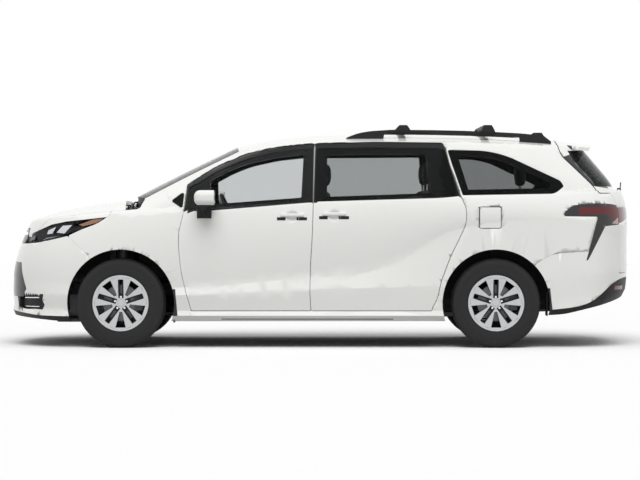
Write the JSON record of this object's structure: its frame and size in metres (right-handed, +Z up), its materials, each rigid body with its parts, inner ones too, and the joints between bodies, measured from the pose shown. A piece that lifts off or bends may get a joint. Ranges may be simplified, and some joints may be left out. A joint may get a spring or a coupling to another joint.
{
  "type": "minivan",
  "caption": "Passenger van with hollow cabin, hinged front doors, hood and tailgate, steered front wheels, side sliding doors, seats in three rows and a roof rack.",
  "frame": {"origin": "on the ground, midway between the front and rear ends and on the centreline", "axes": "+X towards the rear, +Y towards the right-hand side, +Z up"},
  "size_m": [5.1776, 2.392, 1.8269],
  "materials": {
    "paint": "pearl white gloss",
    "underbody": "dark coated",
    "dark_plastic": "satin black",
    "lamp_clear": "clear lens",
    "lamp_red": "red lens",
    "glass_clear": "light grey-green tint",
    "glass_dark": "dark grey tint",
    "rack": "satin black",
    "engine": "cast",
    "running_gear": "dark",
    "exhaust": "dull",
    "interior": "grained",
    "seats": "soft",
    "tyre": "matt",
    "alloy": "silver lacquer"
  },
  "bodies": {
    "body": {"floor_pan": "underbody", "front_frame": "underbody", "body_side_left": "paint", "body_side_right": "paint", "roof_panel": "paint", "front_fenders": "paint", "front_bumper": "paint", "rear_bumper": "paint", "lower_valances": "dark_plastic", "grille": "dark_plastic", "headlamps": "lamp_clear", "tail_lamps": "lamp_red", "windshield": "glass_clear", "side_windows": "glass_dark", "sliding_doors": "paint", "cowl_panel": "dark_plastic", "roof_rack": "rack", "wheel_liners": "dark_plastic", "engine_block": "engine", "front_suspension": "running_gear", "rear_axle": "running_gear", "exhaust": "exhaust", "dashboard": "interior", "front_seats": "seats", "rear_seats": "seats", "wipers": "dark_plastic"},
    "hood": {"hood": "paint"},
    "tailgate": {"tailgate": "paint", "tailgate_window": "glass_dark", "tailgate_lamps": "lamp_red", "rear_wiper": "dark_plastic"},
    "front_door_left": {"front_door_left": "paint", "front_door_window_left": "glass_clear", "mirror_left": "paint"},
    "front_door_right": {"front_door_right": "paint", "front_door_window_right": "glass_clear", "mirror_right": "paint"},
    "steering_wheel": {"steering_wheel": "interior"},
    "knuckle_left": {"knuckle_left": "running_gear"},
    "knuckle_right": {"knuckle_right": "running_gear"},
    "wheel_front_left": {"tyre_front_left": "tyre", "rim_front_left": "alloy"},
    "wheel_front_right": {"tyre_front_right": "tyre", "rim_front_right": "alloy"},
    "wheel_rear_left": {"tyre_rear_left": "tyre", "rim_rear_left": "alloy"},
    "wheel_rear_right": {"tyre_rear_right": "tyre", "rim_rear_right": "alloy"},
    "fuel_flap": {"fuel_flap": "paint"}
  },
  "joints": [
    {"name": "steer_left", "type": "hinge", "parent": "body", "child": "knuckle_left", "pos_m": [-1.6225, -0.805, 0.365], "axis": [0, 0, 1], "range_deg": [-31, 31]},
    {"name": "spin_front_left", "type": "hinge", "parent": "knuckle_left", "child": "wheel_front_left", "pos_m": [-1.6225, -0.863, 0.365], "axis": [0, 1, 0], "continuous": true},
    {"name": "spin_rear_left", "type": "hinge", "parent": "body", "child": "wheel_rear_left", "pos_m": [1.4375, -0.863, 0.365], "axis": [0, 1, 0], "continuous": true},
    {"name": "open_front_door_left", "type": "hinge", "parent": "body", "child": "front_door_left", "pos_m": [-1.19104, -0.945, 0.60016], "axis": [0, 0, -1], "range_deg": [0, 65]},
    {"name": "steer_right", "type": "hinge", "parent": "body", "child": "knuckle_right", "pos_m": [-1.6225, 0.805, 0.365], "axis": [0, 0, 1], "range_deg": [-31, 31]},
    {"name": "spin_front_right", "type": "hinge", "parent": "knuckle_right", "child": "wheel_front_right", "pos_m": [-1.6225, 0.863, 0.365], "axis": [0, 1, 0], "continuous": true},
    {"name": "spin_rear_right", "type": "hinge", "parent": "body", "child": "wheel_rear_right", "pos_m": [1.4375, 0.863, 0.365], "axis": [0, 1, 0], "continuous": true},
    {"name": "open_front_door_right", "type": "hinge", "parent": "body", "child": "front_door_right", "pos_m": [-1.19104, 0.945, 0.60016], "axis": [0, 0, 1], "range_deg": [0, 65]},
    {"name": "open_hood", "type": "hinge", "parent": "body", "child": "hood", "pos_m": [-1.57966, 0, 1.14752], "axis": [0, 1, 0], "range_deg": [0, 52]},
    {"name": "open_tailgate", "type": "hinge", "parent": "body", "child": "tailgate", "pos_m": [1.96688, 0, 1.6984], "axis": [0, -1, 0], "range_deg": [0, 78]},
    {"name": "turn_steering_wheel", "type": "hinge", "parent": "body", "child": "steering_wheel", "pos_m": [-0.74122, -0.4, 1.08064], "axis": [-0.9, 0, -0.436], "range_deg": [-419, 419]},
    {"name": "open_fuel_flap", "type": "hinge", "parent": "body", "child": "fuel_flap", "pos_m": [1.3133, -0.98512, 1.06128], "axis": [0, 0, -1], "range_deg": [0, 85]}
  ],
  "couplings": [
    {"joint": "steer_right", "follows": "steer_left", "ratio": 1},
    {"joint": "turn_steering_wheel", "follows": "steer_left", "ratio": -13.5}
  ]
}
